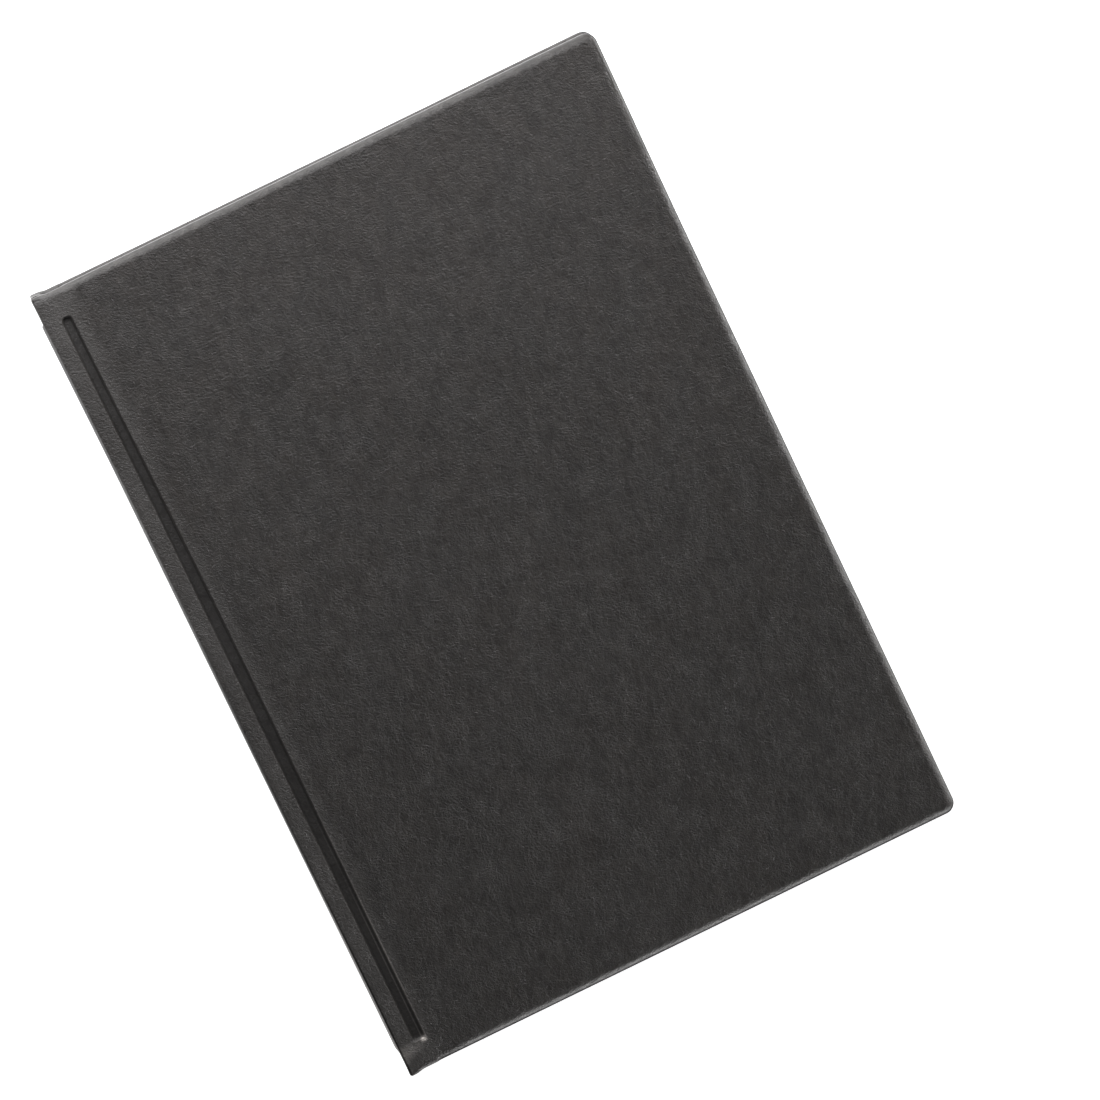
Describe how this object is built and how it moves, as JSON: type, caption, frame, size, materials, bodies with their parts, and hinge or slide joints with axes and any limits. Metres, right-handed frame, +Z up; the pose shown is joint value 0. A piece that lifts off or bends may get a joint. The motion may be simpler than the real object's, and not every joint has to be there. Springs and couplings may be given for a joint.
{
  "type": "menu cover",
  "caption": "Book-style hard menu cover in black leatherette with padded boards, pressed spine grooves, inner corner pockets and an elastic leaflet cord.",
  "frame": {"origin": "middle of the underside of the closed cover as it lies on its back", "axes": "+Z up out of the front cover, +Y along the spine towards the head, +X from the spine to the fore-edge"},
  "size_m": [0.187, 0.264, 0.0132],
  "materials": {
    "leatherette": "matte fine wavy grain",
    "pocket_leatherette": "matte fine grain",
    "foam": "matte",
    "greyboard": "matte",
    "hinge_cloth": "matte fine cloth",
    "lining_paper": "matte fine ribbed",
    "elastic": "matte braid",
    "eyelet_metal": "satin nickel",
    "anchor_metal": "satin"
  },
  "bodies": {
    "back_cover": {"back_covering": "leatherette", "back_padding": "foam", "back_board": "greyboard", "back_joint_lining": "hinge_cloth", "back_lining_card": "lining_paper", "back_pocket_head_fore": "pocket_leatherette", "back_pocket_head_inner": "pocket_leatherette", "back_pocket_tail_fore": "pocket_leatherette", "back_pocket_tail_inner": "pocket_leatherette"},
    "spine": {"spine_covering": "leatherette", "spine_padding": "foam", "spine_strip": "greyboard", "spine_lining": "hinge_cloth", "cord_eyelets": "eyelet_metal", "elastic_cord": "elastic", "cord_anchors": "anchor_metal"},
    "front_cover": {"front_covering": "leatherette", "front_padding": "foam", "front_board": "greyboard", "front_joint_lining": "hinge_cloth", "front_lining_card": "lining_paper", "front_pocket_head_fore": "pocket_leatherette", "front_pocket_head_inner": "pocket_leatherette", "front_pocket_tail_fore": "pocket_leatherette", "front_pocket_tail_inner": "pocket_leatherette"}
  },
  "joints": [
    {"name": "back_fold", "type": "hinge", "parent": "back_cover", "child": "spine", "pos_m": [-0.0915, 0, 0.0014], "axis": [0, -1, 0], "range_deg": [0, 90]},
    {"name": "front_fold", "type": "hinge", "parent": "spine", "child": "front_cover", "pos_m": [-0.0915, 0, 0.0118], "axis": [0, -1, 0], "range_deg": [0, 90]}
  ]
}
